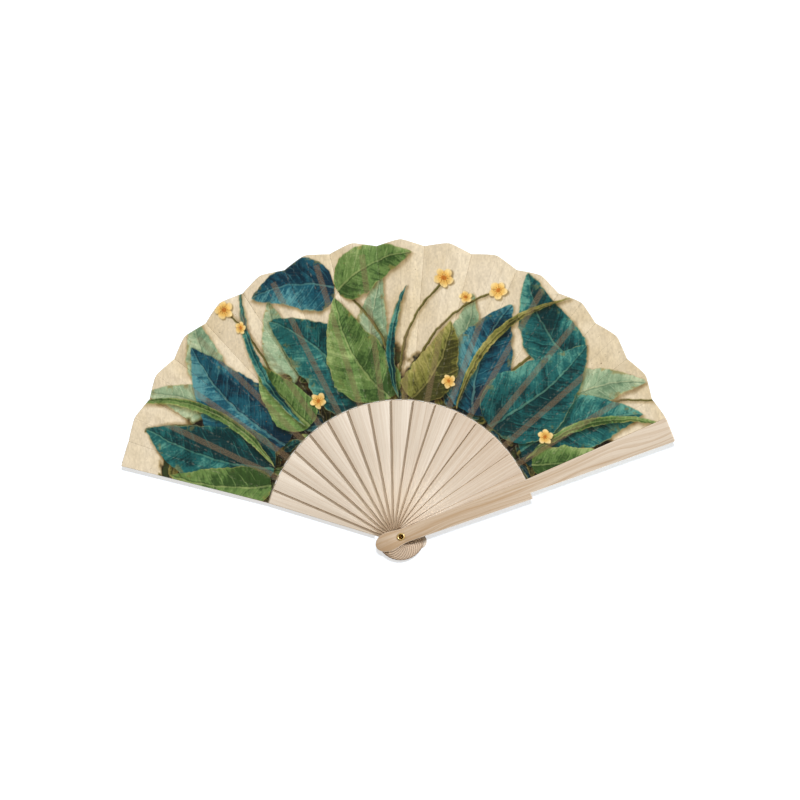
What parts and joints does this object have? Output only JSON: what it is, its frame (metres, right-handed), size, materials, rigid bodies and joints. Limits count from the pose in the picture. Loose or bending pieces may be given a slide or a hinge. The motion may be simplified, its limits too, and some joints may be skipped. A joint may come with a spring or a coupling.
{
  "type": "folding fan",
  "caption": "Wooden folding hand fan: flat slats turn on a brass rivet and carry a pleated cloth leaf between a rear and a front guard.",
  "frame": {"origin": "on the rivet's axis, at the outer face of the rivet's head in the back of the rear guard", "axes": "+Z along the rivet towards the front guard, +X to the right and +Y up the open fan as seen from the front"},
  "size_m": [0.4004, 0.2324, 0.022],
  "materials": {
    "stick_wood": "sanded, unvarnished",
    "guard_wood": "sanded, open grain",
    "leaf_cloth": "printed plain weave",
    "rivet_brass": "polished"
  },
  "bodies": {
    "rear": {"rear_guard": "guard_wood", "rivet": "rivet_brass", "leaf_glued_00": "leaf_cloth", "leaf_free_00": "leaf_cloth"},
    "slat_01": {"stick_01": "stick_wood", "leaf_glued_01": "leaf_cloth", "leaf_free_01": "leaf_cloth"},
    "slat_02": {"stick_02": "stick_wood", "leaf_glued_02": "leaf_cloth", "leaf_free_02": "leaf_cloth"},
    "slat_03": {"stick_03": "stick_wood", "leaf_glued_03": "leaf_cloth", "leaf_free_03": "leaf_cloth"},
    "slat_04": {"stick_04": "stick_wood", "leaf_glued_04": "leaf_cloth", "leaf_free_04": "leaf_cloth"},
    "slat_05": {"stick_05": "stick_wood", "leaf_glued_05": "leaf_cloth", "leaf_free_05": "leaf_cloth"},
    "slat_06": {"stick_06": "stick_wood", "leaf_glued_06": "leaf_cloth", "leaf_free_06": "leaf_cloth"},
    "slat_07": {"stick_07": "stick_wood", "leaf_glued_07": "leaf_cloth", "leaf_free_07": "leaf_cloth"},
    "slat_08": {"stick_08": "stick_wood", "leaf_glued_08": "leaf_cloth", "leaf_free_08": "leaf_cloth"},
    "slat_09": {"stick_09": "stick_wood", "leaf_glued_09": "leaf_cloth", "leaf_free_09": "leaf_cloth"},
    "slat_10": {"stick_10": "stick_wood", "leaf_glued_10": "leaf_cloth", "leaf_free_10": "leaf_cloth"},
    "slat_11": {"stick_11": "stick_wood", "leaf_glued_11": "leaf_cloth", "leaf_free_11": "leaf_cloth"},
    "slat_12": {"stick_12": "stick_wood", "leaf_glued_12": "leaf_cloth", "leaf_free_12": "leaf_cloth"},
    "slat_13": {"stick_13": "stick_wood", "leaf_glued_13": "leaf_cloth", "leaf_free_13": "leaf_cloth"},
    "slat_14": {"stick_14": "stick_wood", "leaf_glued_14": "leaf_cloth", "leaf_free_14": "leaf_cloth"},
    "front": {"stick_15": "stick_wood", "front_guard": "guard_wood", "leaf_glued_15": "leaf_cloth"}
  },
  "joints": [
    {"name": "turn_01", "type": "hinge", "parent": "rear", "child": "slat_01", "pos_m": [0, 0, 0.00275], "axis": [0, 0, 1], "range_deg": [0, 9.44], "deforming": ["leaf_free_00"]},
    {"name": "turn_02", "type": "hinge", "parent": "slat_01", "child": "slat_02", "pos_m": [0, 0, 0.0039], "axis": [0, 0, 1], "range_deg": [0, 9.44], "deforming": ["leaf_free_01"]},
    {"name": "turn_03", "type": "hinge", "parent": "slat_02", "child": "slat_03", "pos_m": [0, 0, 0.00505], "axis": [0, 0, 1], "range_deg": [0, 9.44], "deforming": ["leaf_free_02"]},
    {"name": "turn_04", "type": "hinge", "parent": "slat_03", "child": "slat_04", "pos_m": [0, 0, 0.0062], "axis": [0, 0, 1], "range_deg": [0, 9.44], "deforming": ["leaf_free_03"]},
    {"name": "turn_05", "type": "hinge", "parent": "slat_04", "child": "slat_05", "pos_m": [0, 0, 0.00735], "axis": [0, 0, 1], "range_deg": [0, 9.44], "deforming": ["leaf_free_04"]},
    {"name": "turn_06", "type": "hinge", "parent": "slat_05", "child": "slat_06", "pos_m": [0, 0, 0.0085], "axis": [0, 0, 1], "range_deg": [0, 9.44], "deforming": ["leaf_free_05"]},
    {"name": "turn_07", "type": "hinge", "parent": "slat_06", "child": "slat_07", "pos_m": [0, 0, 0.00965], "axis": [0, 0, 1], "range_deg": [0, 9.44], "deforming": ["leaf_free_06"]},
    {"name": "turn_08", "type": "hinge", "parent": "slat_07", "child": "slat_08", "pos_m": [0, 0, 0.0108], "axis": [0, 0, 1], "range_deg": [0, 9.44], "deforming": ["leaf_free_07"]},
    {"name": "turn_09", "type": "hinge", "parent": "slat_08", "child": "slat_09", "pos_m": [0, 0, 0.01195], "axis": [0, 0, 1], "range_deg": [0, 9.44], "deforming": ["leaf_free_08"]},
    {"name": "turn_10", "type": "hinge", "parent": "slat_09", "child": "slat_10", "pos_m": [0, 0, 0.0131], "axis": [0, 0, 1], "range_deg": [0, 9.44], "deforming": ["leaf_free_09"]},
    {"name": "turn_11", "type": "hinge", "parent": "slat_10", "child": "slat_11", "pos_m": [0, 0, 0.01425], "axis": [0, 0, 1], "range_deg": [0, 9.44], "deforming": ["leaf_free_10"]},
    {"name": "turn_12", "type": "hinge", "parent": "slat_11", "child": "slat_12", "pos_m": [0, 0, 0.0154], "axis": [0, 0, 1], "range_deg": [0, 9.44], "deforming": ["leaf_free_11"]},
    {"name": "turn_13", "type": "hinge", "parent": "slat_12", "child": "slat_13", "pos_m": [0, 0, 0.01655], "axis": [0, 0, 1], "range_deg": [0, 9.44], "deforming": ["leaf_free_12"]},
    {"name": "turn_14", "type": "hinge", "parent": "slat_13", "child": "slat_14", "pos_m": [0, 0, 0.0177], "axis": [0, 0, 1], "range_deg": [0, 9.44], "deforming": ["leaf_free_13"]},
    {"name": "turn_15", "type": "hinge", "parent": "slat_14", "child": "front", "pos_m": [0, 0, 0.01885], "axis": [0, 0, 1], "range_deg": [0, 9.44], "deforming": ["leaf_free_14"]}
  ],
  "couplings": [
    {"joint": "turn_02", "follows": "turn_01", "ratio": 1},
    {"joint": "turn_03", "follows": "turn_01", "ratio": 1},
    {"joint": "turn_04", "follows": "turn_01", "ratio": 1},
    {"joint": "turn_05", "follows": "turn_01", "ratio": 1},
    {"joint": "turn_06", "follows": "turn_01", "ratio": 1},
    {"joint": "turn_07", "follows": "turn_01", "ratio": 1},
    {"joint": "turn_08", "follows": "turn_01", "ratio": 1},
    {"joint": "turn_09", "follows": "turn_01", "ratio": 1},
    {"joint": "turn_10", "follows": "turn_01", "ratio": 1},
    {"joint": "turn_11", "follows": "turn_01", "ratio": 1},
    {"joint": "turn_12", "follows": "turn_01", "ratio": 1},
    {"joint": "turn_13", "follows": "turn_01", "ratio": 1},
    {"joint": "turn_14", "follows": "turn_01", "ratio": 1},
    {"joint": "turn_15", "follows": "turn_01", "ratio": 1}
  ]
}
